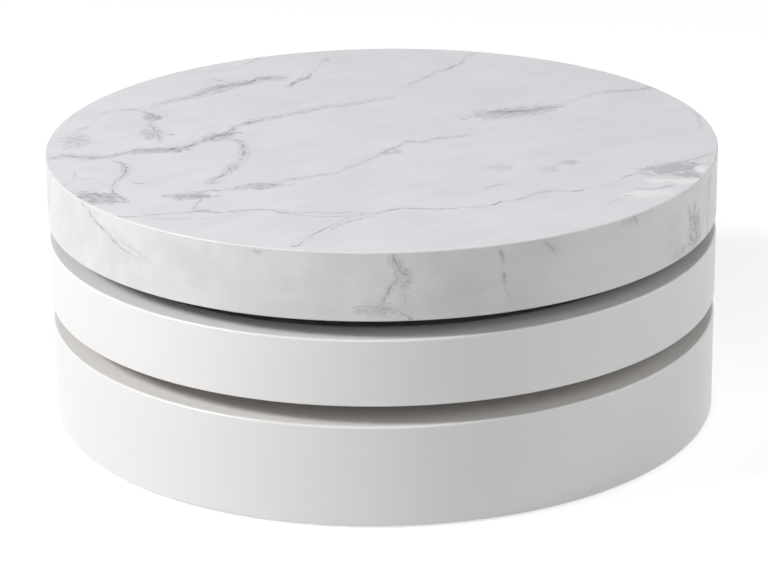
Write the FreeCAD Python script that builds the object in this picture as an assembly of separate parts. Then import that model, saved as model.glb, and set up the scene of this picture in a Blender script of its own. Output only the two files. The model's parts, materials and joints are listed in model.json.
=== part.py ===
"""Three-tier swivel coffee table, in millimetres, +Z up.

The origin is on the floor under the middle of the base. The swivel column stands off centre, towards +Y,
which is the back, so that each upper tier swings out sideways when it turns.

A hollow base drum carries the column. An open storage tray turns on the column, on a lined hub.
The hollow table top turns on a pin that runs down inside the column.
"""
import FreeCAD, Part
import math
import os
from FreeCAD import Vector

# ---- driving dimensions ---------------------------------------------------------------------------
DIAMETER = 800.0            # every tier has the same outline
GLIDE_HEIGHT = 3.0          # nail-on glides under the base
BASE_HEIGHT = 119.0
LOWER_GAP = 24.0            # between the base and the tray, filled by two plates and the slide plate
TRAY_HEIGHT = 78.0
UPPER_GAP = 21.5            # between the tray and the table top, bridged by the end of the column
TOP_HEIGHT = 79.5
PIVOT_OFFSET = 200.0        # from the middle of the table to the column's axis

BOARD = 12.0                # upper boards and the tray's floor
BACKER = 9.0                # closing boards under the base and the table top
WALL = 9.0                  # bent side walls of the closed drums
TRAY_WALL = 42.0            # built-up ring round the tray
RIB = 15.0                  # half-lapped ribs inside the drums
BLOCK = 144.0               # side of the solid blocks that take the bolts
RIM_EASE = 2.5              # eased upper rims of the lacquered tiers
LAP_PLAY = 0.4              # extra width of a half-lap slot

COLUMN_RADIUS = 30.0
COLUMN_WALL = 4.0
PIN_RADIUS = 16.0
RUNNING = 0.05              # radial clearance of a running fit
AXIAL_PLAY = 0.3            # between a turning face and the face that retains it
PLATE_SIDE = 150.0          # square steel plates
PLATE_CORNER = 12.0         # their clipped corners
PLATE = 8.0                 # thickness of the column's and the hub's plates
PIVOT_PLATE = 6.0           # thickness of the plate under the table top
SLIDE_PLATE_SIDE = 100.0    # plastic plate that the tray turns on
SLIP = 0.3                  # radial clearance of the slide plate's hole round the column
BOLT_OFFSET = 57.0          # of each plate's four bolts, from the column's axis, both ways
HUB_WALL = 5.0
LINING = 3.0                # thickness of the hub's plastic lining
SLEEVE_BOTTOM = 120.0       # lower end of the plastic sleeve inside the column
SLEEVE_FLANGE = 4.0
SLEEVE_FLANGE_RADIUS = 36.0

SIDES = 10                  # small repeated round pieces and their holes are made with few sides
BOLT_RADIUS = 4.0
BOLT_HEAD_RADIUS = 7.5      # across the corners of a hexagon
BOLT_HEAD = 5.3
BOLT_IN_BLOCK = 30.0
RETAINER_RADIUS = 5.0
RETAINER_HEAD_RADIUS = 9.2
RETAINER_HEAD = 6.4
RETAINER_IN_PIN = 25.0
RETAINER_WASHER = 4.0
RETAINER_WASHER_SIDE = 35.0
GLIDE_COUNT = 6
GLIDE_RADIUS = 12.0
GLIDE_CIRCLE = 350.0        # radius of the circle that the glides stand on

# ---- levels and radii that follow -----------------------------------------------------------------
R = DIAMETER / 2
INSIDE = R - WALL
TRAY_INSIDE = R - TRAY_WALL
BASE_BOTTOM = GLIDE_HEIGHT
BASE_TOP = BASE_BOTTOM + BASE_HEIGHT
TRAY_BOTTOM = BASE_TOP + LOWER_GAP
TRAY_TOP = TRAY_BOTTOM + TRAY_HEIGHT
TOP_BOTTOM = TRAY_TOP + UPPER_GAP
TABLE_TOP = TOP_BOTTOM + TOP_HEIGHT

BASE_BOARD_LOW = BASE_TOP - BOARD
TRAY_FLOOR = TRAY_BOTTOM + BOARD
TOP_BOARD_LOW = TABLE_TOP - BOARD
FLANGE_TOP = BASE_TOP + PLATE
HUB_PLATE_LOW = TRAY_BOTTOM - PLATE
PIVOT_PLATE_LOW = TOP_BOTTOM - PIVOT_PLATE
COLUMN_TOP = PIVOT_PLATE_LOW - SLEEVE_FLANGE
COLUMN_BORE = COLUMN_RADIUS - COLUMN_WALL
HUB_BORE = COLUMN_RADIUS + LINING
HUB_RADIUS = HUB_BORE + HUB_WALL
HUB_TOP = COLUMN_TOP - 2 * AXIAL_PLAY           # caught under the sleeve's flange if the tray is lifted
PIN_END = SLEEVE_BOTTOM - AXIAL_PLAY
PIVOT = Vector(0, PIVOT_OFFSET, 0)
Z = Vector(0, 0, 1)


# ---- forms ----------------------------------------------------------------------------------------
def turned(outline, axis_at=Vector(0, 0, 0)):
    """Solid of revolution of a closed (radius, height) outline about a vertical axis."""
    points = [Vector(r, 0, z) for r, z in outline]
    solid = Part.Face(Part.makePolygon(points + points[:1])).revolve(Vector(0, 0, 0), Z, 360)
    solid.translate(axis_at)
    return solid


def ring(outer, inner, low, high, axis_at=Vector(0, 0, 0)):
    return turned([(inner, low), (outer, low), (outer, high), (inner, high)], axis_at)


def rod(radius, low, high, at=Vector(0, 0, 0)):
    return Part.makeCylinder(radius, high - low, at + Vector(0, 0, low))


def box(x, y, z):
    """Block between two values on each axis."""
    return Part.makeBox(x[1] - x[0], y[1] - y[0], z[1] - z[0], Vector(x[0], y[0], z[0]))


def square(side, low, high, centre):
    half = side / 2
    return box((centre.x - half, centre.x + half), (centre.y - half, centre.y + half), (low, high))


def around(count, radius, centre=Vector(0, 0, 0), start=0.0):
    """Evenly spaced points on a circle."""
    angles = [math.radians(start + 360.0 * i / count) for i in range(count)]
    return [centre + Vector(radius * math.cos(a), radius * math.sin(a), 0) for a in angles]


def prism(sides, radius, low, high, centre):
    """Upright prism with a regular polygon as its section."""
    points = [p + Vector(0, 0, low) for p in around(sides, radius, centre, start=180.0 / sides)]
    return Part.Face(Part.makePolygon(points + points[:1])).extrude(Vector(0, 0, high - low))


def without(body, tools):
    return body.cut(Part.makeCompound(tools))


def steel_plate(low, high):
    """Square plate with clipped corners, centred on the column's axis."""
    plate = square(PLATE_SIDE, low, high, PIVOT)
    return plate.makeChamfer(PLATE_CORNER, [e for e in plate.Edges if abs(e.tangentAt(0).z) > 0.9])


def bolt_points():
    """The four bolt places that every steel plate has."""
    offsets = (-BOLT_OFFSET, BOLT_OFFSET)
    return [PIVOT + Vector(x, y, 0) for x in offsets for y in offsets]


def bolt_holes(low, high):
    return [prism(SIDES, BOLT_RADIUS, low, high, p) for p in bolt_points()]


def hex_bolt(seat, end, at, radius=BOLT_RADIUS, head_radius=BOLT_HEAD_RADIUS, head=BOLT_HEAD):
    """Bolt whose head bears at the seat's height and whose shank runs up or down to the end's."""
    head_face = seat - head if end > seat else seat + head
    cap = prism(6, head_radius, min(seat, head_face), max(seat, head_face), at)
    shank = prism(SIDES, radius, min(head_face, end), max(head_face, end), at)
    return cap.fuse(shank).removeSplitter()


def plate_bolts(seat, end):
    return [hex_bolt(seat, end, p) for p in bolt_points()]


# ---- half-lapped ribs and solid blocks, shared by the base and the table top -------------------------
LONG_RIBS_X = (-(BLOCK + RIB) / 2, (BLOCK + RIB) / 2)
CROSS_RIBS_Y = (-0.8 * (BLOCK + RIB), PIVOT_OFFSET - (BLOCK + RIB) / 2, PIVOT_OFFSET + (BLOCK + RIB) / 2)
SLOT = (RIB + LAP_PLAY) / 2


def long_ribs(low, high):
    """Front-to-back ribs, slotted from above where the cross ribs drop in."""
    middle = (low + high) / 2
    ribs = []
    for x in LONG_RIBS_X:
        rib = box((x - RIB / 2, x + RIB / 2), (-R, R), (low, high)).common(rod(INSIDE, low, high))
        slots = [box((x - RIB, x + RIB), (y - SLOT, y + SLOT), (middle, high)) for y in CROSS_RIBS_Y]
        ribs.append(without(rib, slots))
    return ribs


def cross_ribs(low, high):
    """Side-to-side ribs, slotted from below."""
    middle = (low + high) / 2
    ribs = []
    for y in CROSS_RIBS_Y:
        rib = box((-R, R), (y - RIB / 2, y + RIB / 2), (low, high)).common(rod(INSIDE, low, high))
        slots = [box((x - SLOT, x + SLOT), (y - RIB, y + RIB), (low, middle)) for x in LONG_RIBS_X]
        ribs.append(without(rib, slots))
    return ribs


# ---- base drum, fixed ---------------------------------------------------------------------------------
def base_parts():
    inner_low = BASE_BOTTOM + BACKER
    upper_board = turned([(0, BASE_BOARD_LOW), (R, BASE_BOARD_LOW), (R, BASE_TOP - RIM_EASE),
                          (R - RIM_EASE, BASE_TOP), (0, BASE_TOP)])
    upper_holes = bolt_holes(BASE_BOARD_LOW, BASE_TOP) + [rod(COLUMN_RADIUS, BASE_BOARD_LOW, BASE_TOP, PIVOT)]
    lower_board = rod(INSIDE, BASE_BOTTOM, inner_low)
    access_hole = rod(COLUMN_BORE, BASE_BOTTOM, inner_low, PIVOT)
    block = square(BLOCK, inner_low, BASE_BOARD_LOW, PIVOT)
    block_holes = bolt_holes(BASE_BOARD_LOW - BOLT_IN_BLOCK, BASE_BOARD_LOW)
    block_holes.append(rod(COLUMN_RADIUS, inner_low, BASE_BOARD_LOW, PIVOT))
    return {
        "base_top_board": [without(upper_board, upper_holes)],
        "base_side_wall": [ring(R, INSIDE, BASE_BOTTOM, BASE_BOARD_LOW)],
        "base_bottom_board": [lower_board.cut(access_hole)],
        "base_long_ribs": long_ribs(inner_low, BASE_BOARD_LOW),
        "base_cross_ribs": cross_ribs(inner_low, BASE_BOARD_LOW),
        "base_column_block": [without(block, block_holes)],
        "floor_glides": [prism(SIDES, GLIDE_RADIUS, 0, GLIDE_HEIGHT, p)
                         for p in around(GLIDE_COUNT, GLIDE_CIRCLE, start=30.0)],
    }


# ---- swivel column, fixed to the base -------------------------------------------------------------------
def column_parts():
    tube = rod(COLUMN_RADIUS, BASE_BOTTOM + BACKER, COLUMN_TOP, PIVOT).fuse(steel_plate(BASE_TOP, FLANGE_TOP))
    bore = rod(COLUMN_BORE, BASE_BOTTOM + BACKER, COLUMN_TOP, PIVOT)
    slide = square(SLIDE_PLATE_SIDE, FLANGE_TOP, HUB_PLATE_LOW, PIVOT)
    sleeve = [(PIN_RADIUS + RUNNING, SLEEVE_BOTTOM), (COLUMN_BORE, SLEEVE_BOTTOM), (COLUMN_BORE, COLUMN_TOP),
              (SLEEVE_FLANGE_RADIUS, COLUMN_TOP), (SLEEVE_FLANGE_RADIUS, PIVOT_PLATE_LOW),
              (PIN_RADIUS + RUNNING, PIVOT_PLATE_LOW)]
    return {
        "swivel_column": [without(tube, bolt_holes(BASE_TOP, FLANGE_TOP) + [bore])],
        "column_bolts": plate_bolts(FLANGE_TOP, BASE_BOARD_LOW - BOLT_IN_BLOCK),
        "tray_slide_plate": [slide.cut(rod(COLUMN_RADIUS + SLIP, FLANGE_TOP, HUB_PLATE_LOW, PIVOT))],
        "pin_sleeve": [turned(sleeve, PIVOT)],
    }


# ---- storage tray ---------------------------------------------------------------------------------------
def tray_parts():
    floor = rod(R, TRAY_BOTTOM, TRAY_FLOOR)
    floor_holes = bolt_holes(TRAY_BOTTOM, TRAY_FLOOR) + [rod(HUB_RADIUS, TRAY_BOTTOM, TRAY_FLOOR, PIVOT)]
    wall = turned([(TRAY_INSIDE, TRAY_FLOOR), (R, TRAY_FLOOR), (R, TRAY_TOP - RIM_EASE),
                   (R - RIM_EASE, TRAY_TOP), (TRAY_INSIDE, TRAY_TOP)])
    hub = steel_plate(HUB_PLATE_LOW, TRAY_BOTTOM).fuse(rod(HUB_RADIUS, HUB_PLATE_LOW, HUB_TOP, PIVOT))
    hub_holes = bolt_holes(HUB_PLATE_LOW, TRAY_BOTTOM) + [rod(HUB_BORE, HUB_PLATE_LOW, HUB_TOP, PIVOT)]
    return {
        "tray_floor": [without(floor, floor_holes)],
        "tray_wall": [wall],
        "tray_hub": [without(hub, hub_holes)],
        "tray_hub_lining": [ring(HUB_BORE, COLUMN_RADIUS + RUNNING, HUB_PLATE_LOW, HUB_TOP, PIVOT)],
        "tray_hub_bolts": plate_bolts(TRAY_FLOOR, HUB_PLATE_LOW),
    }


# ---- table top --------------------------------------------------------------------------------------------
def top_parts():
    inner_low = TOP_BOTTOM + BACKER
    bolt_end = inner_low + BOLT_IN_BLOCK
    board = turned([(0, TOP_BOARD_LOW), (INSIDE, TOP_BOARD_LOW), (R, TABLE_TOP), (0, TABLE_TOP)])
    wall = turned([(INSIDE, TOP_BOTTOM), (R, TOP_BOTTOM), (R, TABLE_TOP), (INSIDE, TOP_BOARD_LOW)])
    pivot = steel_plate(PIVOT_PLATE_LOW, TOP_BOTTOM).fuse(rod(PIN_RADIUS, PIN_END, TOP_BOTTOM, PIVOT))
    retainer_end = PIN_END + RETAINER_IN_PIN
    pivot_holes = bolt_holes(PIVOT_PLATE_LOW, TOP_BOTTOM)
    pivot_holes.append(prism(SIDES, RETAINER_RADIUS, PIN_END, retainer_end, PIVOT))
    block = square(BLOCK, inner_low, TOP_BOARD_LOW, PIVOT)
    washer_low = PIN_END - RETAINER_WASHER
    washer = square(RETAINER_WASHER_SIDE, washer_low, PIN_END, PIVOT)
    retainer = hex_bolt(washer_low, retainer_end, PIVOT, RETAINER_RADIUS, RETAINER_HEAD_RADIUS, RETAINER_HEAD)
    return {
        "marble_top_board": [board],
        "marble_side_wall": [wall],
        "top_bottom_board": [without(rod(INSIDE, TOP_BOTTOM, inner_low), bolt_holes(TOP_BOTTOM, inner_low))],
        "top_long_ribs": long_ribs(inner_low, TOP_BOARD_LOW),
        "top_cross_ribs": cross_ribs(inner_low, TOP_BOARD_LOW),
        "top_pivot_block": [without(block, bolt_holes(inner_low, bolt_end))],
        "top_pivot": [without(pivot, pivot_holes)],
        "top_pivot_bolts": plate_bolts(PIVOT_PLATE_LOW, bolt_end),
        "pin_retaining_washer": [washer.cut(prism(SIDES, RETAINER_RADIUS, washer_low, PIN_END, PIVOT))],
        "pin_retaining_bolt": [retainer],
    }


def write_parts():
    os.makedirs("parts", exist_ok=True)
    for name, solids in {**base_parts(), **column_parts(), **tray_parts(), **top_parts()}.items():
        shape = solids[0] if len(solids) == 1 else Part.makeCompound(solids)
        shape.exportStep(f"parts/{name}.step")
        print(f"{name:22s} {len(shape.Solids)} solid(s), {shape.Volume / 1000:9.1f} cm3")


write_parts()
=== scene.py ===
"""Looks of the three-tier swivel coffee table: lacquered drums, marble-effect top, hidden steel swivel.

Metres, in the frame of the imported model: the origin on the floor, +Z up, +Y towards the swivel column.
"""

import json
import math

import bpy
from mathutils import Matrix, Vector


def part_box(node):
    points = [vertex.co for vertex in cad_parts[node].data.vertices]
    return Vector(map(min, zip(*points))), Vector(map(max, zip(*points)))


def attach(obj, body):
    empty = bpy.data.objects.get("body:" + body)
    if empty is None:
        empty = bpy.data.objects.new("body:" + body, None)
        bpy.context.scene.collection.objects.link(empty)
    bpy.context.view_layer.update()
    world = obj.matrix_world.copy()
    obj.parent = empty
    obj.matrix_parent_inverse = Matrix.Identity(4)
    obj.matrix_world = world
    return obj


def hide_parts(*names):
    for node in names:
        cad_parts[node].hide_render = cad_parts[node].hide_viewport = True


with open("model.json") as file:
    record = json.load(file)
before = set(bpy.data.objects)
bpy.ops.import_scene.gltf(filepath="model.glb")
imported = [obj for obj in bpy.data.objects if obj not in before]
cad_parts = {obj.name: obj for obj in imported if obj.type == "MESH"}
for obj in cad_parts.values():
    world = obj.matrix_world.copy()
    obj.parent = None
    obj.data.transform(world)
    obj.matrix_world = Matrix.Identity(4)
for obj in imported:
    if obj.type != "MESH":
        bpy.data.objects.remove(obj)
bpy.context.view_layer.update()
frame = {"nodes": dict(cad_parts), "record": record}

# ---- sizes, in metres -----------------------------------------------------------------------------------
MM = 0.001
CENTRE = Vector((0, 0, 0))
FINE = 320                      # sides of the large turned pieces
ROUND = 72                      # sides of the steel and plastic turned pieces


def low(node):
    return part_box(node)[0].z


def high(node):
    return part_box(node)[1].z


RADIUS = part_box("base_side_wall")[1].x
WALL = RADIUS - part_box("base_bottom_board")[1].x        # bent walls of the closed drums
TRAY_WALL = 42 * MM
PIVOT = sum(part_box("pin_sleeve"), CENTRE) / 2           # foot of the column's axis
PIVOT.z = 0
HAIR = 0.1 * MM                 # gap between pieces that would lie in one plane
OVERSHOOT = 5 * MM              # of a cutter, past both faces

RIM = 2.5 * MM                  # rounded upper rims of the lacquered tiers
RIM_STEPS = 6
TRAY_LIP = 1.5 * MM             # inner rim of the tray
SHEET_EDGE = 1.6 * MM           # rounded rim of the marble-effect top
SHEET_STEPS = 5
ARRIS = 0.9 * MM                # lower edges, just broken
ARRIS_STEPS = 3
FLAT_BORDER = 0.3 * MM          # band round the large faces

TUBE_RADIUS = 30 * MM           # swivel column, outside
TUBE_BORE = 26 * MM
SLIDE_PLATE_BORE = 30.3 * MM
LINING_BORE = 30.05 * MM
LINING_EDGE = 0.6 * MM
SLEEVE_RADIUS = 38 * MM         # tray hub, outside
SLEEVE_BORE = 33 * MM
SLEEVE_EDGE = 0.8 * MM
PIN_RADIUS = 16 * MM
PIN_BORE = 16.05 * MM
PIN_TIP = 1 * MM                # chamfer that leads the pin and its sleeve in
PLATE_CORNER = 12 * MM          # clipped corners of the steel plates
SLIDE_PLATE_CORNER = 4 * MM
WASHER_CORNER = 2 * MM
PLATE_EDGE = 0.5 * MM           # broken edges of plates and tube

BOLT_SPREAD = 57 * MM           # of four bolts, from the column's axis, both ways
BOLT_SHANK = 3.9 * MM           # radius
RETAINER_SHANK = 4.9 * MM
BOLT_TIP = 0.8 * MM             # chamfer of the shank's end
BOLT_HEAD = 7.4 * MM            # radius over the corners of the hexagon
HEAD_HEIGHT = 5.3 * MM
HEAD_EDGE = 0.7 * MM
BOLT_COLLAR = 1.2 * MM          # round foot of the head
COLLAR_EDGE = 0.3 * MM
SHANK_SIDES, COLLAR_SIDES = 24, 36
BOLT_SMOOTHING = 30             # degrees

GLIDE_RADIUS = 12 * MM
GLIDE_DOME = 1.6 * MM           # rounded foot
GLIDE_SIDES = 40
GLIDES, FIRST_GLIDE = 6, 30     # how many, and the first one's turn in degrees


# ---- modelling by operators -----------------------------------------------------------------------------
def deselect():
    if bpy.context.object and bpy.context.object.mode != "OBJECT":
        bpy.ops.object.mode_set(mode="OBJECT")
    bpy.ops.object.select_all(action="DESELECT")


def pick(*pieces):
    """Selects these pieces alone and makes the first one active."""
    deselect()
    for piece in pieces:
        piece.select_set(True)
    bpy.context.view_layer.objects.active = pieces[0]


def named(name):
    """Names the new primitive and puts its place into its mesh."""
    bpy.ops.object.transform_apply(location=True, rotation=True, scale=True)
    piece = bpy.context.object
    piece.name = piece.data.name = name
    return piece


def cylinder(name, radius, bottom, top, at=CENTRE, sides=FINE):
    """Upright cylinder between two heights."""
    deselect()
    middle = (at.x, at.y, (bottom + top) / 2)
    bpy.ops.mesh.primitive_cylinder_add(vertices=sides, radius=radius, depth=top - bottom, location=middle)
    return named(name)


def copied(piece, place):
    """Copy with its own mesh, moved there from the origin."""
    pick(piece)
    bpy.ops.object.duplicate(linked=False)
    bpy.context.object.location = place
    return named(piece.name + "_copy")


def slab(name, side, bottom, top, at):
    """Square block between two heights."""
    deselect()
    bpy.ops.mesh.primitive_cube_add(size=1, location=(at.x, at.y, (bottom + top) / 2))
    bpy.context.object.scale = (side, side, top - bottom)
    return named(name)


def choose(piece, faces=None, edges=None):
    """In edit mode, selects the faces or the edges that the given test picks."""
    pick(piece)
    bpy.ops.object.mode_set(mode="EDIT")
    bpy.ops.mesh.select_mode(type="FACE" if faces else "EDGE")
    bpy.ops.mesh.select_all(action="DESELECT")
    bpy.ops.object.mode_set(mode="OBJECT")
    mesh = piece.data
    if faces:
        for face in mesh.polygons:
            face.select = bool(faces(face))
    else:
        for edge in mesh.edges:
            a, b = (mesh.vertices[i].co for i in edge.vertices)
            edge.select = bool(edges(a, b))
    bpy.ops.object.mode_set(mode="EDIT")


def done():
    bpy.ops.object.mode_set(mode="OBJECT")


def near(a, b, by=0.15 * MM):
    return abs(a - b) < by


LEVEL_ENOUGH = 0.9              # upright part of a level face's normal
EXACTLY = 0.0001                # how far a flat face's normal may lean


def facing_up(face):
    return face.normal.z > LEVEL_ENOUGH


def facing_down(face):
    return face.normal.z < -LEVEL_ENOUGH


def end_faces(face):
    return abs(face.normal.z) > LEVEL_ENOUGH


def level_or_upright(face):
    lean = abs(face.normal.z)
    return lean > 1 - EXACTLY or lean < EXACTLY


def circle(height, radius, at=CENTRE):
    """Test for the edges of the circle at that height and radius."""
    def test(a, b):
        return all(near(p.z, height) and near((p.xy - at.xy).length, radius) for p in (a, b))

    return test


def round_edges(piece, test, size, segments=4):
    choose(piece, edges=test)
    bpy.ops.mesh.bevel(offset=size, offset_type="OFFSET", segments=segments, profile=0.5, affect="EDGES")
    done()


def bore_through(piece, wall):
    """Turns a cylinder into a tube with that wall."""
    choose(piece, faces=end_faces)
    bpy.ops.mesh.inset(thickness=wall)
    bpy.ops.mesh.bridge_edge_loops()
    done()


def sink(piece, test, border, depth):
    """Insets the chosen face by the border and pushes it in."""
    choose(piece, faces=test)
    bpy.ops.mesh.inset(thickness=border)
    bpy.ops.mesh.extrude_region_move(TRANSFORM_OT_translate={"value": (0, 0, depth)})
    done()


def keep_flat(piece):
    """Narrow band round the level and upright faces, so that a rounding beside them doesn't shade them."""
    choose(piece, faces=level_or_upright)
    bpy.ops.mesh.inset(thickness=FLAT_BORDER)
    done()


def bore(piece, radius, bottom, top):
    """Cuts a hole on the column's axis, right through between these heights."""
    cutter = cylinder("cutter", radius, bottom - OVERSHOOT, top + OVERSHOOT, PIVOT, ROUND)
    pick(piece)
    boolean = piece.modifiers.new("cut", "BOOLEAN")
    boolean.operation = "DIFFERENCE"
    boolean.solver = "EXACT"
    boolean.object = cutter
    bpy.ops.object.modifier_apply(modifier=boolean.name)
    bpy.data.objects.remove(cutter)


def join(name, *pieces):
    """Makes one piece of several."""
    pick(*pieces)
    bpy.ops.object.join()
    pieces[0].name = pieces[0].data.name = name
    return pieces[0]


def finish(piece, body, look, slot, *nodes, angle=35):
    """Gives a modelled piece its body and material, and hides the nodes that it stands for. The slot
    argument is not used.
    """
    pick(piece)
    bpy.ops.object.mode_set(mode="EDIT")
    bpy.ops.mesh.select_all(action="SELECT")
    bpy.ops.mesh.normals_make_consistent(inside=False)
    bpy.ops.object.mode_set(mode="OBJECT")
    bpy.ops.object.shade_smooth_by_angle(angle=math.radians(angle))
    piece.data.materials.clear()
    piece.data.materials.append(look)
    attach(piece, body)
    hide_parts(*nodes)


def paint_faces(piece, look, test):
    """Second material on the faces that the test picks."""
    piece.data.materials.append(look)
    choose(piece, faces=test)
    piece.active_material_index = len(piece.data.materials) - 1
    bpy.ops.object.material_slot_assign()
    done()


# ---- shader nodes ---------------------------------------------------------------------------------------
def link(tree, source, target):
    tree.links.new(source, target)


def feed(tree, socket, value):
    """Links a socket, or sets a plain value."""
    if isinstance(value, bpy.types.NodeSocket):
        link(tree, value, socket)
    elif isinstance(value, tuple) and socket.type == "RGBA" and len(value) == 3:
        socket.default_value = (*value, 1)
    else:
        socket.default_value = value


def sums(tree, operation, a, b=None, c=None):
    """One step of arithmetic."""
    node = tree.nodes.new("ShaderNodeMath")
    node.operation = operation
    for socket, value in zip(node.inputs, (a, b, c)):
        if value is not None:
            feed(tree, socket, value)
    return node.outputs[0]


def noise(tree, vector, scale, detail=3.0, roughness=0.5, output="Fac"):
    node = tree.nodes.new("ShaderNodeTexNoise")
    for name, value in (("Vector", vector), ("Scale", scale), ("Detail", detail), ("Roughness", roughness)):
        feed(tree, node.inputs[name], value)
    return node.outputs[output]


def mapped(tree, vector, location=(0, 0, 0), turn=0.0, scale=(1, 1, 1), kind="POINT"):
    """Vector scaled, then turned by degrees and moved; kind TEXTURE undoes the same."""
    node = tree.nodes.new("ShaderNodeMapping")
    node.vector_type = kind
    feed(tree, node.inputs["Vector"], vector)
    node.inputs["Location"].default_value = location
    node.inputs["Rotation"].default_value = (0, 0, math.radians(turn))
    node.inputs["Scale"].default_value = scale
    return node.outputs["Vector"]


def place_of(tree):
    return tree.nodes.new("ShaderNodeTexCoord").outputs["Object"]


def remap(tree, value, start, end, to_start=0.0, to_end=1.0, straight=False):
    """Eased step between two ranges that stops at both ends, or a straight one that runs on."""
    node = tree.nodes.new("ShaderNodeMapRange")
    node.interpolation_type = "LINEAR" if straight else "SMOOTHSTEP"
    node.clamp = False
    for name, number in (("Value", value), ("From Min", start), ("From Max", end), ("To Min", to_start),
                         ("To Max", to_end)):
        feed(tree, node.inputs[name], number)
    return node.outputs["Result"]


def blend(tree, amount, first, second):
    node = tree.nodes.new("ShaderNodeMix")
    node.data_type = "RGBA"
    colours = [s for s in node.inputs if s.type == "RGBA"]
    feed(tree, node.inputs["Factor"], amount)
    feed(tree, colours[0], first)
    feed(tree, colours[1], second)
    return [s for s in node.outputs if s.type == "RGBA"][0]


def join_axes(tree, x, y, z):
    node = tree.nodes.new("ShaderNodeCombineXYZ")
    for socket, value in zip(node.inputs, (x, y, z)):
        feed(tree, socket, value)
    return node.outputs[0]


def axes(tree, vector):
    node = tree.nodes.new("ShaderNodeSeparateXYZ")
    feed(tree, node.inputs[0], vector)
    return node.outputs


def curve(tree, value, points):
    """Smooth line through points that run from 0 to 1 both ways, level beyond its ends."""
    node = tree.nodes.new("ShaderNodeFloatCurve")
    node.mapping.extend = "HORIZONTAL"
    line = node.mapping.curves[0]
    line.points[0].location = points[0]
    line.points[-1].location = points[-1]
    for at in points[1:-1]:
        line.points.new(*at)
    for point in line.points:
        point.handle_type = "AUTO_CLAMPED"
    node.mapping.update()
    feed(tree, node.inputs["Value"], value)
    return node.outputs["Value"]


def group(name, takes, gives):
    """New node group: returns it with its input and output nodes."""
    made = bpy.data.node_groups.new(name, "ShaderNodeTree")
    for title, kind in takes:
        made.interface.new_socket(name=title, in_out="INPUT", socket_type="NodeSocket" + kind)
    for title, kind in gives:
        made.interface.new_socket(name=title, in_out="OUTPUT", socket_type="NodeSocket" + kind)
    return made, made.nodes.new("NodeGroupInput"), made.nodes.new("NodeGroupOutput")


def use(tree, made, **values):
    node = tree.nodes.new("ShaderNodeGroup")
    node.node_tree = made
    for name, value in values.items():
        feed(tree, node.inputs[name.replace("_", " ")], value)
    return node.outputs


def material(name):
    made = bpy.data.materials.new(name)
    made.use_nodes = True
    return made, made.node_tree, made.node_tree.nodes["Principled BSDF"]


def dent(tree, shader, height, distance, strength=1.0):
    """Surface relief from a height that varies."""
    node = tree.nodes.new("ShaderNodeBump")
    node.inputs["Distance"].default_value = distance
    node.inputs["Strength"].default_value = strength
    feed(tree, node.inputs["Height"], height)
    link(tree, node.outputs["Normal"], shader.inputs["Normal"])


# ---- shared effects -------------------------------------------------------------------------------------
def mottle_group():
    """Two tones and two roughnesses, mixed by a soft noise."""
    made, given, out = group("mottle", [("Vector", "Vector"), ("Scale", "Float"), ("Dark", "Color"),
                                        ("Light", "Color"), ("Smooth", "Float"), ("Rough", "Float")],
                             [("Color", "Color"), ("Roughness", "Float"), ("Height", "Float")])
    take = given.outputs
    speck = noise(made, take["Vector"], take["Scale"], 4, 0.55)
    even = remap(made, speck, 0.32, 0.68)
    link(made, blend(made, even, take["Dark"], take["Light"]), out.inputs["Color"])
    link(made, remap(made, speck, 0.32, 0.68, take["Rough"], take["Smooth"]), out.inputs["Roughness"])
    link(made, speck, out.inputs["Height"])
    return made


def vein_group():
    """Ink of a vein: a wavering core line and fine strands beside it.

    Along and Offset are millimetres along and across the vein.
    """
    made, given, out = group("vein", [("Along", "Float"), ("Offset", "Float"), ("Strength", "Float"),
                                      ("Core", "Float"), ("Spread", "Float"), ("Strands", "Float"),
                                      ("Seed", "Float")], [("Ink", "Float")])
    take = given.outputs
    away = sums(made, "ABSOLUTE", take["Offset"])
    beat = noise(made, join_axes(made, take["Along"], take["Seed"], 0.0), 0.09, 1, 0.6)
    width = sums(made, "MULTIPLY", take["Core"], remap(made, beat, 0.35, 0.65, 0.4, 1.9))
    core = remap(made, away, sums(made, "MULTIPLY", width, 0.2), width, 1.0, 0.0)
    core = sums(made, "MULTIPLY", core, remap(made, beat, 0.32, 0.6, 0.55, 1.0))
    zone = remap(made, away, sums(made, "MULTIPLY", take["Spread"], 0.3), take["Spread"], 1.0, 0.0)
    grain = join_axes(made, sums(made, "MULTIPLY", take["Along"], 0.045),
                      sums(made, "MULTIPLY", take["Offset"], 0.30), take["Seed"])
    ridge = sums(made, "ABSOLUTE", sums(made, "SUBTRACT", noise(made, grain, 1.0, 2, 0.62), 0.5))
    strands = remap(made, ridge, 0.004, 0.045, 1.0, 0.12)
    strands = sums(made, "MULTIPLY", sums(made, "MULTIPLY", strands, zone), take["Strands"])
    ink = sums(made, "MAXIMUM", core, strands)
    link(made, sums(made, "MULTIPLY", ink, take["Strength"]), out.inputs["Ink"])
    return made


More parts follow.
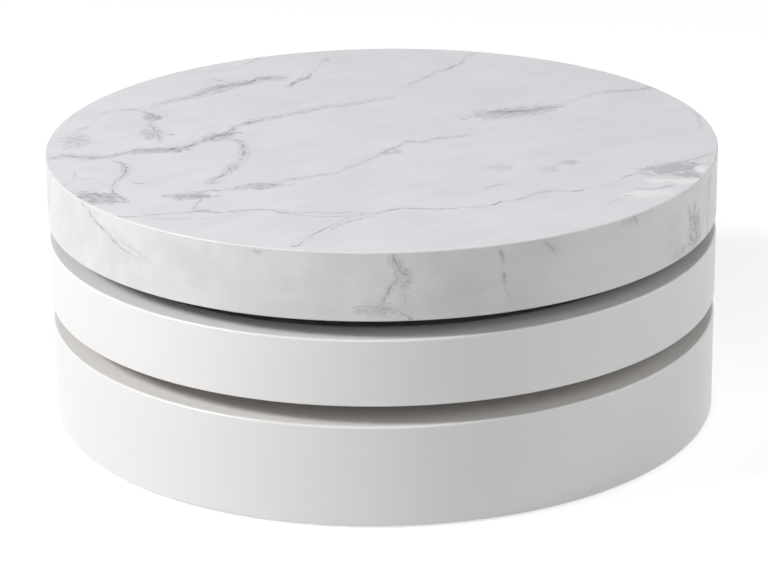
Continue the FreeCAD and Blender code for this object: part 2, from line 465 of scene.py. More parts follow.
def feather_group():
    """Ink of a feathered patch; Local runs from -1 to 1 along and across it."""
    made, given, out = group("feather", [("Local", "Vector"), ("Ragged", "Float"), ("Tint", "Float"),
                                         ("Hatch", "Float"), ("Seed", "Float")], [("Ink", "Float")])
    take = given.outputs
    side = axes(made, take["Local"])
    reach = made.nodes.new("ShaderNodeVectorMath")
    reach.operation = "LENGTH"
    link(made, join_axes(made, side[0], side[1], 0.0), reach.inputs[0])
    wear = sums(made, "SUBTRACT", take["Ragged"], 0.5)
    edge = sums(made, "MULTIPLY_ADD", wear, 2.2, reach.outputs["Value"])
    zone = remap(made, edge, 0.45, 1.0, 1.0, 0.0)
    grain = join_axes(made, sums(made, "MULTIPLY", side[0], 1.1), sums(made, "MULTIPLY", side[1], 4.2),
                      take["Seed"])
    ridge = sums(made, "ABSOLUTE", sums(made, "SUBTRACT", noise(made, grain, 1.0, 2, 0.65), 0.5))
    lines = remap(made, ridge, 0.004, 0.05, 1.0, 0.0)
    ink = sums(made, "MULTIPLY_ADD", lines, take["Hatch"], take["Tint"])
    link(made, sums(made, "MULTIPLY", ink, zone), out.inputs["Ink"])
    return made


mottle = mottle_group()
vein = vein_group()
feather = feather_group()


FADE = 5                        # millimetres in which a vein's end fades out
MARGIN = 1                      # millimetres beside a vein's line, so that its curve isn't flat


def trace(tree, along, across, points, core, spread, strands, seed):
    """Ink of a vein through (along, across, strength) points, in millimetres, in order along it."""
    first, last = points[0], points[-1]
    points = [(first[0] - FADE, first[1], 0), *points, (last[0] + FADE, last[1], 0)]
    starts, ends = points[0][0], points[-1][0]
    sides = [p[1] for p in points]
    least, most = min(sides) - MARGIN, max(sides) + MARGIN
    run = [(p[0] - starts) / (ends - starts) for p in points]
    t = remap(tree, along, starts, ends, straight=True)
    middle = curve(tree, t, [(r, (s - least) / (most - least)) for r, s in zip(run, sides)])
    strength = curve(tree, t, [(r, p[2]) for r, p in zip(run, points)])
    lean = (most - least) / (ends - starts)
    offset = sums(tree, "SUBTRACT", across, remap(tree, middle, 0, 1, least, most, straight=True))
    offset = sums(tree, "MULTIPLY", offset, 1 / math.sqrt(1 + lean * lean))
    return use(tree, vein, Along=along, Offset=offset, Strength=strength, Core=core, Spread=spread,
               Strands=strands, Seed=seed)["Ink"]


def patches(tree, vector):
    """Drawing of feathered patches, whose outlines one noise wears."""
    ragged = noise(tree, vector, 0.085, 4, 0.65)

    def patch(tree, vector, at, half, turn, tint, hatch, seed):
        local = mapped(tree, vector, (*at, 0), turn, (*half, 1), "TEXTURE")
        return use(tree, feather, Local=local, Ragged=ragged, Tint=tint, Hatch=hatch, Seed=seed)["Ink"]

    return patch


def crossed(tree, vector, ink):
    """Shifts what is drawn next by a hair where it crosses this ink.

    It also makes each drawing wait for the last one, so that few values are held at a time.
    """
    shift = tree.nodes.new("ShaderNodeVectorMath")
    shift.operation = "MULTIPLY_ADD"
    link(tree, ink, shift.inputs[0])
    shift.inputs[1].default_value = (0.5, -0.5, 0)
    link(tree, vector, shift.inputs[2])
    return shift.outputs[0]


def wavered(tree, vector, reaches):
    """Millimetre coordinates shifted by noise, so that no vein runs smooth."""
    moved = vector
    for scale, reach in reaches:
        shift = tree.nodes.new("ShaderNodeVectorMath")
        shift.operation = "MULTIPLY_ADD"
        link(tree, noise(tree, vector, scale, 2, 0.5, "Color"), shift.inputs[0])
        shift.inputs[1].default_value = (2 * reach, 2 * reach, 2 * reach)
        shift.inputs[2].default_value = (-reach, -reach, -reach)
        add = tree.nodes.new("ShaderNodeVectorMath")
        add.operation = "ADD"
        link(tree, moved, add.inputs[0])
        link(tree, shift.outputs[0], add.inputs[1])
        moved = add.outputs[0]
    return moved


# ---- marble ---------------------------------------------------------------------------------------------
# Veins of the top: points (x, y, strength) in millimetres from its middle, +y towards the back; then the
# core's half width and how far the strands spread, both in millimetres, and the strands' strength.
TOP_VEINS = [
    ([(-393, -56, .5), (-374, -46, .6), (-347, -54, .7), (-327, -53, .6), (-307, -41, .6), (-287, -27, .8),
      (-267, -26, .9), (-246, -24, 1), (-229, -14, .9), (-217, 0, .8), (-200, 20, .9), (-178, 56, .8),
      (-164, 76, .9), (-140, 92, .6), (-97, 118, .5), (-67, 138, .5), (-36, 150, .4), (-11, 163, .35),
      (14, 174, .2), (30, 180, 0)], 2.0, 13, .95),
    ([(30, 225, 0), (44, 245, .5), (59, 267, .5), (76, 289, .5), (92, 306, .6), (106, 332, .7),
      (120, 366, .6)], 1.5, 9, .5),
    ([(-290, 146, 0), (-281, 154, .3), (-264, 172, .5), (-249, 182, .6), (-228, 203, .8), (-210, 224, .9),
      (-189, 239, 1), (-170, 248, .9), (-155, 263, .9), (-136, 271, .9), (-120, 268, .4), (-108, 272, 0)],
     1.8, 16, .9),
    ([(-239, 178, 0), (-215, 199, .7), (-191, 220, .6), (-160, 240, 0)], 1.4, 7, .6),
    ([(-229, 275, 0), (-212, 265, .5), (-199, 257, .6), (-190, 250, 0)], 1.3, 6, .5),
    ([(-118, 234, .2), (-103, 258, 1), (-94, 271, .8), (-84, 300, .3), (-70, 350, .35)], 1.5, 8, .7),
    ([(-384, 24, .4), (-368, 51, .4), (-354, 72, .4), (-344, 118, .3), (-329, 134, .4), (-314, 138, .5),
      (-299, 136, .5), (-288, 122, .7), (-272, 106, .5)], 1.4, 9, .6),
    ([(-366, -156, .7), (-357, -142, .7), (-352, -134, .7), (-337, -134, .4), (-325, -148, .4),
      (-306, -163, .4), (-294, -145, .4), (-278, -155, .6), (-262, -154, 0)], 1.1, 6, .4),
    ([(-245, -199, .8), (-219, -190, .7), (-194, -184, .8), (-178, -182, .6), (-163, -173, .7),
      (-149, -160, .7), (-126, -159, .7), (-104, -143, .8), (-89, -142, .7), (-72, -131, .6),
      (-55, -123, .6), (-41, -109, .6), (-23, -86, .6), (-6, -62, .7), (9, -38, .9), (21, -26, .7),
      (33, -8, .8), (48, -12, .4), (66, 2, .8), (78, 8, .4), (97, 13, .7), (120, 18, 0)], 1.1, 8, .7),
    ([(-294, -268, .7), (-275, -272, .7), (-262, -266, .6), (-237, -261, .5), (-218, -259, .6),
      (-201, -254, .9), (-186, -260, .8), (-172, -262, 0)], 1.0, 6, .5),
    ([(-168, -257, .9), (-146, -253, .8), (-123, -254, .8), (-112, -263, .6), (-81, -265, .6),
      (-53, -266, .5), (-20, -266, .2)], 1.1, 6, .5),
    ([(-112, -257, .3), (-92, -273, .5), (-62, -281, .6), (-34, -275, .4), (-20, -270, 0)], 1.0, 5, .3),
    ([(-281, -275, 0), (-242, -280, .35), (-203, -279, .3), (-164, -285, 0)], 1.5, 8, .4),
    ([(-96, -378, .8), (-85, -357, .9), (-72, -333, .9), (-56, -312, .8), (-42, -292, .7), (-26, -276, .8),
      (-6, -268, .8), (10, -260, .9), (27, -255, .7), (58, -258, .8), (89, -254, .6), (117, -251, .7),
      (134, -237, .9), (154, -227, .7), (178, -205, .5), (201, -199, .4), (218, -203, .6), (241, -186, .3),
      (262, -178, .3), (278, -155, .9), (291, -142, .8), (318, -120, .6), (349, -98, .7), (368, -89, .6),
      (387, -71, .8), (395, -62, .8)], 1.0, 6, .35),
    ([(-70, -338, 0), (-45, -306, .5), (-24, -288, .6), (0, -277, 0)], 1.4, 6, .6),
    ([(86, 66, 0), (118, 94, .5), (145, 104, .6), (170, 109, .9), (201, 122, .9), (222, 131, .3),
      (236, 150, .3), (251, 168, .35), (273, 183, .5), (299, 189, .7), (318, 195, .7), (341, 201, .8),
      (350, 204, .6)], 1.3, 11, .7),
    ([(98, 60, 0), (135, 76, .4), (169, 92, .5), (212, 104, 0)], 1.5, 8, .6),
    ([(275, -196, 0), (296, -198, .4), (326, -188, .4), (340, -180, 0)], 2.2, 7, .3),
    ([(248, -252, 0), (264, -235, .3), (280, -220, .35), (290, -234, 0)], 1.8, 7, .3),
    ([(106, -197, 0), (120, -186, .3), (140, -170, .35), (152, -162, 0)], 1.8, 8, .4),
    ([(-173, 339, .5), (-160, 356, .5)], 1.3, 5, .4),
]
# Veins of the top that run front to back: points (y, x, strength).
TOP_UPRIGHT_VEINS = [
    ([(-154, -195, .8), (-131, -185, .9), (-112, -177, .8), (-95, -172, .9), (-78, -168, .4),
      (-42, -161, .8), (-13, -166, .8), (10, -176, .6), (22, -184, 0)], 1.4, 11, .8),
    ([(-195, -306, .6), (-158, -309, .6), (-135, -303, .5), (-112, -297, .9), (-89, -299, .9),
      (-65, -314, .4), (-48, -328, 0)], 1.3, 8, .6),
    ([(-12, -262, 0), (12, -265, .5), (34, -268, .5), (62, -275, .6), (84, -282, .7), (102, -272, .8),
      (116, -282, .3)], 1.4, 9, .7),
    ([(-246, -210, .8), (-230, -208, .7), (-214, -203, .5)], 1.0, 5, .5),
    ([(-136, -353, 0), (-118, -356, .35), (-98, -359, 0)], 1.6, 6, .3),
    ([(30, 384, .3), (60, 386, .3), (96, 383, .3)], 1.6, 8, .4),
]
# Feathered patches of the top: middle, half length and depth, turn in degrees, tint and hatch.
TOP_FEATHERS = [
    ((-322, -205), (44, 27), -22, .28, .65),
    ((-216, -203), (32, 15), 3, .34, .50),
    ((-136, -170), (40, 13), 16, .24, .65),
    ((-201, -256), (17, 7), 0, .20, .50),
    ((-262, -30), (46, 13), 10, .24, .75),
    ((-194, 24), (34, 18), 45, .24, .75),
    ((-281, 104), (17, 19), 0, .26, .70),
    ((-275, 36), (22, 26), 10, .18, .60),
    ((-366, 10), (22, 34), 0, .14, .42),
    ((-190, 236), (62, 13), 33, .20, .60),
    ((10, -46), (18, 16), 40, .10, .55),
    ((160, 106), (72, 24), 16, .28, .60),
    ((196, 118), (32, 13), 14, .22, .30),
    ((336, -124), (50, 24), 26, .44, .12),
    ((352, -148), (22, 18), 10, .42, .12),
    ((220, -96), (15, 13), 0, .30, .10),
    ((196, -120), (18, 14), 50, .14, .10),
    ((140, -110), (20, 14), 40, .14, .20),
]
TOP_WHITES = [
    ((350, -170), (24, 13), 8, 1.0, 0.0),
    ((318, -168), (20, 10), 0, 1.0, 0.0),
    ((368, -128), (10, 22), -10, 1.0, 0.0),
    ((300, -215), (36, 16), 12, 0.8, 0.0),
]

# Veins of the side band: points (height, distance round from the front, strength).
BAND_UPRIGHT_VEINS = [
    ([(268, 24, .3), (284, 22, .4), (296, 26, .5), (304, 20, .7), (313, 14, .6), (322, 11, .5)],
     1.4, 10, .7),
    ([(246, 30, .5), (254, 22, .3), (266, 12, 0)], 1.4, 10, .6),
    ([(266, 0, .2), (276, 4, .5), (290, 10, .4), (300, 16, 0)], 1.5, 9, .6),
    ([(262, 140, .2), (272, 136, .3), (292, 133, .5), (297, 132, .1), (314, 130, .45), (322, 128, .2)],
     2.2, 7, .4),
    ([(298, 200, 0), (306, 196, .35), (316, 186, .45), (322, 180, .3)], 1.6, 8, .4),
    ([(316, 312, .6), (325, 306, .7)], 1.8, 8, .5),
    ([(246, 440, .5), (262, 432, .7), (284, 428, .7), (300, 424, .5), (312, 420, 0)], 1.5, 7, .9),
    ([(246, 452, .3), (266, 446, .8), (288, 440, .7), (302, 436, 0)], 1.5, 7, .9),
    ([(248, 462, .4), (266, 458, .6), (282, 452, .6), (296, 448, 0)], 1.5, 7, .9),
    ([(246, 492, .7), (262, 494, .8), (272, 490, .3)], 1.6, 6, .6),
]
# Veins that run along the band: points (distance round from the front, height, strength).
BAND_VEINS = [
    ([(-420, 328, .3), (-405, 323, .5), (-378, 310, .5), (-351, 300, .5), (-330, 291, .5), (-312, 286, .25),
      (-280, 284, .1), (-260, 280, 0)], 1.6, 8, .3),
    ([(-350, 312, 0), (-330, 300, .2), (-300, 292, .2), (-262, 282, 0)], 2.0, 9, .3),
    ([(396, 252, 0), (416, 256, .5), (440, 252, .5), (470, 260, .3)], 1.8, 8, .6),
    ([(-150, 321, .2), (-138, 319, .35), (-124, 322, .1)], 2.0, 6, .3),
    ([(560, 250, .4), (610, 268, .6), (650, 276, .4), (700, 300, .7), (742, 306, .5), (790, 325, .4)],
     1.3, 9, .6),
    ([(880, 325, .6), (905, 296, .5), (960, 284, .3), (1010, 262, .6), (1040, 247, .5)], 1.4, 9, .6),
    ([(-640, 246, .5), (-610, 262, .7), (-560, 272, .4), (-530, 300, .5), (-505, 325, .4)], 1.4, 9, .6),
    ([(-900, 320, .5), (-860, 312, .4), (-800, 290, .7), (-770, 284, .4), (-720, 262, .5)], 1.3, 9, .6),
    ([(-1150, 246, .4), (-1100, 266, .6), (-1060, 276, .3), (-1020, 300, .5), (-990, 325, .4)],
     1.4, 10, .6),
]
BAND_FEATHERS = [
    ((20, 296), (13, 26), 4, .12, .35),
    ((-8, 258), (34, 13), 0, .08, .40),
    ((444, 270), (24, 34), 8, .18, .40),
    ((498, 300), (16, 30), 0, .12, .20),
    ((400, 254), (30, 10), 0, .10, .30),
    ((300, 320), (20, 9), 0, .12, .20),
    ((700, 296), (34, 18), 20, .12, .45),
    ((-590, 268), (40, 16), 14, .12, .45),
    ((960, 282), (44, 14), 0, .10, .40),
    ((-800, 292), (34, 15), 20, .14, .45),
    ((-1090, 268), (34, 16), 16, .12, .45),
]

TOP_WAVER = ((0.03, 5.0), (0.12, 2.2))      # noise scale, and how far it shifts a vein in millimetres
BAND_WAVER = ((0.03, 4.0), (0.12, 2.0))
MARBLE_SHADE = (0.704, 0.676, 0.720)
MARBLE_WHITE = (0.757, 0.729, 0.772)
BAND_SHADE = (0.640, 0.621, 0.633)
BAND_WHITE = (0.715, 0.694, 0.706)
VEIN_GREY = (0.195, 0.182, 0.215)
BRIGHT = (0.86, 0.85, 0.865)                # white patches of the top
GLOSSY, SATIN = 0.285, 0.34                 # roughness of the sheets' clear lacquer


def marble_ground(tree, place, shade, white):
    """Soft clouds and faint long streaks under the veins; place is in millimetres."""
    cloud = noise(tree, place, 0.009, 3, 0.55)
    streak = noise(tree, mapped(tree, place, turn=32, scale=(4.0, 0.9, 1), kind="TEXTURE"), 0.04, 3, 0.5)
    both = sums(tree, "MULTIPLY_ADD", streak, 0.4, sums(tree, "MULTIPLY", cloud, 0.6))
    return blend(tree, remap(tree, both, 0.36, 0.62), shade, white)


def polish(tree, shader, ink, place):
    """Printed sheet under clear lacquer: satin gloss, a little duller over the veins."""
    smudge = noise(tree, place, 0.03, 3, 0.5)
    rough = remap(tree, smudge, 0.3, 0.7, GLOSSY, SATIN)
    link(tree, sums(tree, "MULTIPLY_ADD", ink, 0.05, rough), shader.inputs["Roughness"])
    dent(tree, shader, noise(tree, place, 0.35, 2, 0.5), 0.00002, 0.25)


def draw(tree, vector, specs, drawing, ink):
    """Draws one vein or patch after another and keeps the heaviest ink."""
    for i, spec in enumerate(specs):
        own = drawing(tree, vector, *spec, seed=3.7 * i)
        ink = sums(tree, "MAXIMUM", own, ink)
        vector = crossed(tree, vector, own)
    return vector, ink


def vein_along(tree, vector, *spec, seed):
    side = axes(tree, vector)
    return trace(tree, side[0], side[1], *spec, seed=seed)


def vein_across(tree, vector, *spec, seed):
    side = axes(tree, vector)
    return trace(tree, side[1], side[0], *spec, seed=seed + 91)


def marble_top_look():
    """Marble-effect print seen from above."""
    made, tree, shader = material("marble_top_sheet")
    flat = mapped(tree, place_of(tree), scale=(1000, 1000, 0))
    moved = wavered(tree, flat, TOP_WAVER)
    patch = patches(tree, moved)
    moved, white = draw(tree, moved, TOP_WHITES, patch, 0.0)
    moved, ink = draw(tree, moved, TOP_VEINS, vein_along, 0.0)
    moved, ink = draw(tree, moved, TOP_UPRIGHT_VEINS, vein_across, ink)
    moved, ink = draw(tree, moved, TOP_FEATHERS, patch, ink)
    ground = blend(tree, white, marble_ground(tree, flat, MARBLE_SHADE, MARBLE_WHITE), BRIGHT)
    link(tree, blend(tree, ink, ground, VEIN_GREY), shader.inputs["Base Color"])
    polish(tree, shader, ink, flat)
    return made


def marble_band_look():
    """The same print round the side, laid out by the distance round from the front."""
    made, tree, shader = material("marble_side_sheet")
    solid = mapped(tree, place_of(tree), scale=(1000, 1000, 1000))
    x, y, z = axes(tree, wavered(tree, solid, BAND_WAVER))
    turn = sums(tree, "ARCTAN2", x, sums(tree, "MULTIPLY", y, -1.0))
    unrolled = join_axes(tree, sums(tree, "MULTIPLY", turn, RADIUS / MM), z, 0.0)
    patch = patches(tree, unrolled)
    unrolled, ink = draw(tree, unrolled, BAND_VEINS, vein_along, 0.0)
    unrolled, ink = draw(tree, unrolled, BAND_UPRIGHT_VEINS, vein_across, ink)
    unrolled, ink = draw(tree, unrolled, BAND_FEATHERS, patch, ink)
    ground = marble_ground(tree, solid, BAND_SHADE, BAND_WHITE)
    link(tree, blend(tree, ink, ground, VEIN_GREY), shader.inputs["Base Color"])
    polish(tree, shader, ink, solid)
    return made


# ---- other finishes -------------------------------------------------------------------------------------
def lacquer_look():
    """White satin-gloss lacquer with a faint orange peel and soft clouds."""
    made, tree, shader = material("white_lacquer")
    place = place_of(tree)
    tone = use(tree, mottle, Vector=place, Scale=4.0, Dark=(0.775, 0.763, 0.758),
               Light=(0.790, 0.778, 0.773), Smooth=0.29, Rough=0.33)
    link(tree, tone["Color"], shader.inputs["Base Color"])
    link(tree, tone["Roughness"], shader.inputs["Roughness"])
    shader.inputs["Specular IOR Level"].default_value = 0.4
    dent(tree, shader, noise(tree, place, 330, 2, 0.5), 0.00002, 0.3)
    return made


def mottled_look(name, dark, light, smooth, rough, scale, metallic=0.0, relief=0.0):
    """Finish of the metal, plastic and raw board pieces."""
    made, tree, shader = material(name)
    place = place_of(tree)
    tone = use(tree, mottle, Vector=place, Scale=scale, Dark=dark, Light=light, Smooth=smooth, Rough=rough)
    link(tree, tone["Color"], shader.inputs["Base Color"])
    link(tree, tone["Roughness"], shader.inputs["Roughness"])
    shader.inputs["Metallic"].default_value = metallic
    if relief:
        dent(tree, shader, tone["Height"], relief, 0.6)
    return made


white_lacquer = lacquer_look()
marble_top_sheet = marble_top_look()
marble_side_sheet = marble_band_look()
# Dark and light tone, smoothest and roughest, scale of the mottling, metal or not, and relief in metres.
sheet_edge = mottled_look("cut_sheet_edge", (0.69, 0.68, 0.655), (0.74, 0.73, 0.705), 0.4, 0.5, 60)
backing_board = mottled_look("backing_board", (0.24, 0.23, 0.225), (0.30, 0.29, 0.28), 0.6, 0.8, 90,
                             relief=0.0002)
raw_board = mottled_look("fibreboard", (0.33, 0.26, 0.17), (0.46, 0.37, 0.26), 0.75, 0.9, 400,
                         relief=0.0002)
sealed_board = mottled_look("sealed_underside", (0.50, 0.47, 0.41), (0.60, 0.57, 0.51), 0.6, 0.75, 120,
                            relief=0.0001)
steel = mottled_look("drawn_steel", (0.46, 0.465, 0.47), (0.60, 0.605, 0.61), 0.25, 0.45, 45,
                     metallic=1.0, relief=0.00002)
zinc = mottled_look("zinc_plating", (0.56, 0.57, 0.58), (0.72, 0.73, 0.74), 0.3, 0.5, 260, metallic=1.0)
polyamide = mottled_look("polyamide", (0.70, 0.69, 0.65), (0.78, 0.77, 0.73), 0.4, 0.55, 120,
                         relief=0.00005)

LOOKS = {"white_lacquer": white_lacquer, "marble_laminate": marble_side_sheet, "steel": steel,
         "zinc_steel": zinc, "plastic": polyamide, "fibreboard": raw_board, "backing_board": backing_board}
for part in frame["record"]["subparts"]:
    mesh = frame["nodes"][part["node"]].data
    mesh.materials.clear()
    mesh.materials.append(LOOKS[part["material_slot"]])


# ---- drum, tray and top ---------------------------------------------------------------------------------
def base_drum():
    """Bent wall and upper board under one coat of lacquer, open below."""
    bottom, board, top = low("base_side_wall"), low("base_top_board"), high("base_top_board")
    drum = cylinder("base_drum", RADIUS, bottom, top)
    sink(drum, facing_down, WALL, board - bottom)
    round_edges(drum, circle(top, RADIUS), RIM, RIM_STEPS)
    round_edges(drum, circle(bottom, RADIUS), ARRIS, ARRIS_STEPS)
    keep_flat(drum)
    bore(drum, TUBE_RADIUS, board, top)
    finish(drum, "base", white_lacquer, "white_lacquer", "base_top_board", "base_side_wall")


def tray_bowl():
    """Floor and built-up ring of the tray under one coat of lacquer, its underside only sealed."""
    bottom, floor_top, top = low("tray_floor"), high("tray_floor"), high("tray_wall")
    bowl = cylinder("tray_bowl", RADIUS, bottom, top)
    sink(bowl, facing_up, TRAY_WALL, floor_top - top)
    round_edges(bowl, circle(top, RADIUS), RIM, RIM_STEPS)
    round_edges(bowl, circle(top, RADIUS - TRAY_WALL), TRAY_LIP, ARRIS_STEPS)
    round_edges(bowl, circle(bottom, RADIUS), ARRIS, ARRIS_STEPS)
    keep_flat(bowl)
    bore(bowl, SLEEVE_RADIUS, bottom, floor_top)
    finish(bowl, "tray", white_lacquer, "white_lacquer", "tray_floor", "tray_wall")
    paint_faces(bowl, sealed_board, facing_down)


def on_the_rim(face):
    """Picks the rounding between the level face and the upright one."""
    return 0.02 < face.normal.z < 0.985


def marble_top():
    """Upper board with its rounded rim, undercut to the mitre."""
    bottom, top = low("marble_top_board"), high("marble_top_board")
    board = cylinder("marble_top", RADIUS, bottom, top)
    round_edges(board, circle(top, RADIUS), SHEET_EDGE, SHEET_STEPS)
    inwards = (RADIUS - WALL) / RADIUS
    choose(board, edges=circle(bottom, RADIUS))
    bpy.ops.transform.resize(value=(inwards, inwards, 1), center_override=(0, 0, bottom))
    done()
    keep_flat(board)
    finish(board, "top", marble_top_sheet, "marble_laminate", "marble_top_board")
    paint_faces(board, sheet_edge, on_the_rim)


def marble_band():
    """Bent side wall, mitred to the board."""
    bottom, top = low("marble_side_wall"), high("marble_top_board") - SHEET_EDGE
    band = cylinder("marble_band", RADIUS, bottom, top)
    bore_through(band, WALL)
    mitre = low("marble_top_board") - HAIR - top
    choose(band, edges=circle(top, RADIUS - WALL))
    bpy.ops.transform.translate(value=(0, 0, mitre))
    done()
    round_edges(band, circle(bottom, RADIUS), ARRIS, ARRIS_STEPS)
    keep_flat(band)
    finish(band, "top", marble_side_sheet, "marble_laminate", "marble_side_wall")


# ---- swivel ---------------------------------------------------------------------------------------------
def side_of(node):
    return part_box(node)[1].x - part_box(node)[0].x


def rounded_plate(name, side, bottom, top, corner=PLATE_CORNER):
    """Square plate about the column's axis, with clipped corners and broken edges."""
    plate = slab(name, side, bottom, top, PIVOT)
    round_edges(plate, lambda a, b: near(a.x, b.x) and near(a.y, b.y), corner, 1)
    round_edges(plate, lambda a, b: near(a.z, b.z), PLATE_EDGE, 2)
    return plate


def swivel_column():
    """Tube welded through its flange plate."""
    bottom, top = low("swivel_column"), high("swivel_column")
    flange_low, flange_top = high("base_top_board"), low("tray_slide_plate")
    tube = cylinder("tube", TUBE_RADIUS, bottom, top, PIVOT, ROUND)
    bore_through(tube, TUBE_RADIUS - TUBE_BORE)
    round_edges(tube, circle(top, TUBE_RADIUS, PIVOT), PLATE_EDGE, 2)
    flange = rounded_plate("flange", side_of("swivel_column"), flange_low, flange_top)
    bore(flange, TUBE_RADIUS, flange_low, flange_top)
    finish(join("swivel_column", tube, flange), "base", steel, "steel", "swivel_column")


def slide_plate():
    """Plastic plate on the column's flange."""
    bottom, top = low("tray_slide_plate"), high("tray_slide_plate")
    side = side_of("tray_slide_plate")
    plate = rounded_plate("tray_slide_plate", side, bottom, top, SLIDE_PLATE_CORNER)
    bore(plate, SLIDE_PLATE_BORE, bottom, top)
    finish(plate, "base", polyamide, "plastic", "tray_slide_plate")


def pin_sleeve():
    """Plastic sleeve with a flange, pressed into the upper end of the column."""
    bottom, flange_low, top = low("pin_sleeve"), high("swivel_column"), high("pin_sleeve")
    flange_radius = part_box("pin_sleeve")[1].x
    sleeve = cylinder("pin_sleeve", flange_radius, flange_low, top, PIVOT, ROUND)
    sink(sleeve, facing_down, flange_radius - TUBE_BORE, bottom - flange_low)
    round_edges(sleeve, circle(bottom, TUBE_BORE, PIVOT), PIN_TIP, 2)
    round_edges(sleeve, circle(top, flange_radius, PIVOT), LINING_EDGE, 3)
    bore(sleeve, PIN_BORE, bottom, top)
    finish(sleeve, "base", polyamide, "plastic", "pin_sleeve")


def tray_hub():
    """Sleeve welded on a square plate under the tray."""
    bottom, top, plate_top = low("tray_hub"), high("tray_hub"), low("tray_floor")
    plate = rounded_plate("hub_plate", side_of("tray_hub"), bottom, plate_top)
    bore(plate, SLEEVE_BORE, bottom, plate_top)
    sleeve = cylinder("sleeve", SLEEVE_RADIUS, plate_top, top, PIVOT, ROUND)
    bore_through(sleeve, SLEEVE_RADIUS - SLEEVE_BORE)
    round_edges(sleeve, circle(top, SLEEVE_RADIUS, PIVOT), SLEEVE_EDGE, 3)
    finish(join("tray_hub", plate, sleeve), "tray", steel, "steel", "tray_hub")


def hub_lining():
    """Plastic lining of the hub, just clear of the slide plate."""
    bottom, top = low("tray_hub_lining") + HAIR, high("tray_hub_lining")
    lining = cylinder("tray_hub_lining", SLEEVE_BORE, bottom, top, PIVOT, ROUND)
    bore_through(lining, SLEEVE_BORE - LINING_BORE)
    round_edges(lining, circle(top, LINING_BORE, PIVOT), LINING_EDGE, 2)
    finish(lining, "tray", polyamide, "plastic", "tray_hub_lining")


def top_pivot():
    """Pin welded to the middle of a square plate, and set 1 mm into it."""
    bottom, plate_low, top = low("top_pivot"), high("pin_sleeve"), high("top_pivot")
    plate = rounded_plate("pivot_plate", side_of("top_pivot"), plate_low, top)
    pin = cylinder("pin", PIN_RADIUS, bottom, plate_low + 1 * MM, PIVOT, ROUND)
    round_edges(pin, circle(bottom, PIN_RADIUS, PIVOT), PIN_TIP, 2)
    finish(join("top_pivot", plate, pin), "top", steel, "steel", "top_pivot")


def hex_bolt(name, shank_radius, head_radius, head, length):
    """Bolt with its seat at height nought, the head above and the shank below."""
    shank = cylinder("shank", shank_radius, -length, 0, sides=SHANK_SIDES)
    round_edges(shank, circle(-length, shank_radius), BOLT_TIP, 1)
    hexagon = cylinder("hexagon", head_radius, BOLT_COLLAR, head, sides=6)
    round_edges(hexagon, lambda a, b: near(a.z, head) and near(b.z, head), HEAD_EDGE, 2)
    collar = cylinder("collar", head_radius, 0, BOLT_COLLAR, sides=COLLAR_SIDES)
    round_edges(collar, circle(BOLT_COLLAR, head_radius), COLLAR_EDGE, 2)
    return join(name, shank, hexagon, collar)


def place_piece(piece, place, upside_down=False):
    """Puts a piece that was modelled at the origin in its place."""
    pick(piece)
    piece.rotation_euler = (math.pi if upside_down else 0, 0, 0)
    piece.location = place
    bpy.ops.object.transform_apply(location=True, rotation=True)


def plate_bolts(node, body, seat, flipped=False):
    """Four copies of one bolt at the corners of a plate."""
    shank_end = high(node) if flipped else low(node)
    first = hex_bolt(node, BOLT_SHANK, BOLT_HEAD, HEAD_HEIGHT, abs(shank_end - seat))
    place_piece(first, CENTRE, flipped)
    copies = []
    for across, back in ((1, 1), (1, -1), (-1, 1), (-1, -1)):
        copies.append(copied(first, PIVOT + Vector((across * BOLT_SPREAD, back * BOLT_SPREAD, seat))))
    bpy.data.objects.remove(first)
    finish(join(node, *copies), body, zinc, "zinc_steel", node, angle=BOLT_SMOOTHING)


def pin_retainer():
    """Square washer and bolt that hold the pin in its sleeve."""
    washer_low, washer_top = low("pin_retaining_washer"), high("pin_retaining_washer")
    washer = rounded_plate("pin_retaining_washer", side_of("pin_retaining_washer"), washer_low, washer_top,
                           WASHER_CORNER)
    finish(washer, "top", zinc, "zinc_steel", "pin_retaining_washer")
    head = washer_low - low("pin_retaining_bolt")
    length = high("pin_retaining_bolt") - washer_low
    bolt = hex_bolt("pin_retaining_bolt", RETAINER_SHANK, side_of("pin_retaining_bolt") / 2, head, length)
    place_piece(bolt, PIVOT + Vector((0, 0, washer_low)), upside_down=True)
    finish(bolt, "top", zinc, "zinc_steel", "pin_retaining_bolt", angle=BOLT_SMOOTHING)


def floor_glides():
    """Domed discs under the rim of the base."""
    circle_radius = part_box("floor_glides")[1].y - GLIDE_RADIUS
    first = cylinder("glide", GLIDE_RADIUS, 0, high("floor_glides"), sides=GLIDE_SIDES)
    round_edges(first, circle(0, GLIDE_RADIUS), GLIDE_DOME, 4)
    glides = []
    for i in range(GLIDES):
        turn = math.radians(FIRST_GLIDE + 360 / GLIDES * i)
        glides.append(copied(first, (circle_radius * math.cos(turn), circle_radius * math.sin(turn), 0)))
    bpy.data.objects.remove(first)
    finish(join("floor_glides", *glides), "base", polyamide, "plastic", "floor_glides")


base_drum()
tray_bowl()
marble_top()
marble_band()
swivel_column()
slide_plate()
pin_sleeve()
tray_hub()
hub_lining()
top_pivot()
plate_bolts("column_bolts", "base", low("tray_slide_plate"))
plate_bolts("tray_hub_bolts", "tray", high("tray_floor"))
plate_bolts("top_pivot_bolts", "top", high("pin_sleeve"), flipped=True)
pin_retainer()
floor_glides()


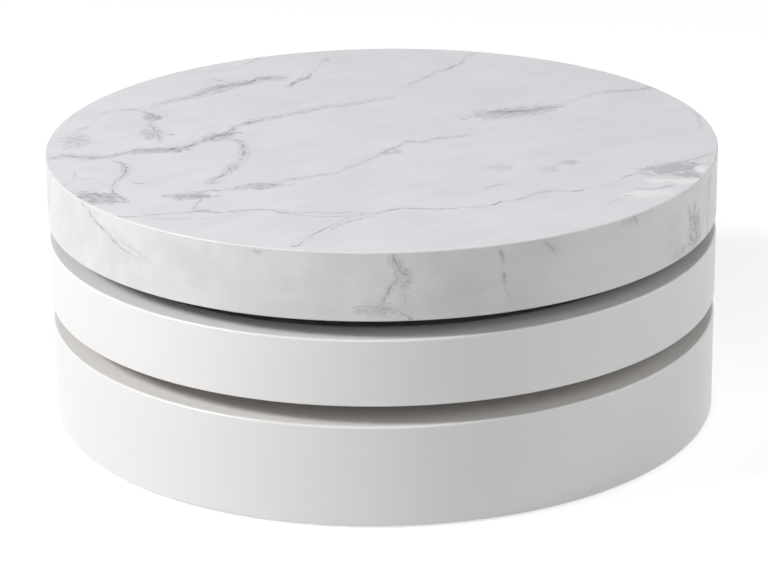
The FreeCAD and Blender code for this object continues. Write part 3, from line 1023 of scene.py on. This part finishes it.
# ---- floor, light and camera ----------------------------------------------------------------------------
FLOOR_SIZE = 60
FLOOR_COLOUR = (0.55, 0.55, 0.55, 1)
FLOOR_ROUGHNESS = 0.9
FLOOR_GLOW = 0.68
WORLD_COLOUR = (1, 1, 1, 1)
WORLD_STRENGTH = 0.10           # for the rays that light the table
LAMP_AIM = Vector((0, 0, 0.2))
LAMPS = (                       # name, place, side of the square and watts
    ("left_softbox", (-3.23, -1.18, 2.65), 1.0, 148),
    ("overhead_softbox", (1.2, 1.2, 3.0), 3.0, 12),
    ("right_fill", (3.3, -0.65, 1.5), 2.9, 50),
    ("front_fill", (-0.6, -4.5, 2.6), 3.4, 61),
)
LENS, SENSOR = 142.43, 36       # millimetres
EYE = (0.0008, -3.46525, 1.41804)
LOOK_DOWN = 0.35426             # radians below the level
ROLL = -0.01331                 # radians


def seen(tree):
    """One for rays from the eye, straight, mirrored or through glass, and nought for the others."""
    light_path = tree.nodes.new("ShaderNodeLightPath").outputs
    mirrored = sums(tree, "MAXIMUM", light_path["Is Glossy Ray"], light_path["Is Transmission Ray"])
    return sums(tree, "MAXIMUM", light_path["Is Camera Ray"], mirrored)


def studio_floor():
    """Pale floor that takes the shadow, with a glow that only seen rays meet."""
    deselect()
    bpy.ops.mesh.primitive_plane_add(size=FLOOR_SIZE, location=CENTRE)
    ground = named("studio_floor")
    made, tree, shader = material("studio_floor")
    shader.inputs["Base Color"].default_value = FLOOR_COLOUR
    shader.inputs["Roughness"].default_value = FLOOR_ROUGHNESS
    shader.inputs["Specular IOR Level"].default_value = 0.0
    glow = tree.nodes.new("ShaderNodeEmission")
    link(tree, sums(tree, "MULTIPLY", seen(tree), FLOOR_GLOW), glow.inputs["Strength"])
    both = tree.nodes.new("ShaderNodeAddShader")
    link(tree, shader.outputs[0], both.inputs[0])
    link(tree, glow.outputs[0], both.inputs[1])
    link(tree, both.outputs[0], tree.nodes["Material Output"].inputs["Surface"])
    ground.data.materials.append(made)


def surroundings():
    """White to the eye, and a weak even light for everything else."""
    world = bpy.data.worlds.new("studio")
    bpy.context.scene.world = world
    world.use_nodes = True
    tree = world.node_tree
    shade = tree.nodes["Background"]
    strength = sums(tree, "MULTIPLY_ADD", seen(tree), 1 - WORLD_STRENGTH, WORLD_STRENGTH)
    link(tree, strength, shade.inputs["Strength"])
    shade.inputs["Color"].default_value = WORLD_COLOUR


def softbox(name, place, size, power):
    """Square lamp turned towards the table."""
    data = bpy.data.lights.new(name, "AREA")
    data.shape = "SQUARE"
    data.size = size
    data.energy = power
    lamp = bpy.data.objects.new(name, data)
    bpy.context.scene.collection.objects.link(lamp)
    lamp.location = place
    lamp.rotation_euler = (LAMP_AIM - Vector(place)).to_track_quat("-Z", "Y").to_euler()


def camera():
    """Long lens in front of the table, a little above it."""
    data = bpy.data.cameras.new("camera")
    data.lens = LENS
    data.sensor_width = SENSOR
    eye = bpy.data.objects.new("camera", data)
    bpy.context.scene.collection.objects.link(eye)
    tilt = math.radians(90) - LOOK_DOWN
    eye.matrix_world = (Matrix.Translation(EYE) @ Matrix.Rotation(tilt, 4, "X")
                        @ Matrix.Rotation(ROLL, 4, "Z"))
    bpy.context.scene.camera = eye


studio_floor()
surroundings()
for lamp in LAMPS:
    softbox(*lamp)
camera()
bpy.context.scene.view_settings.view_transform = "Standard"
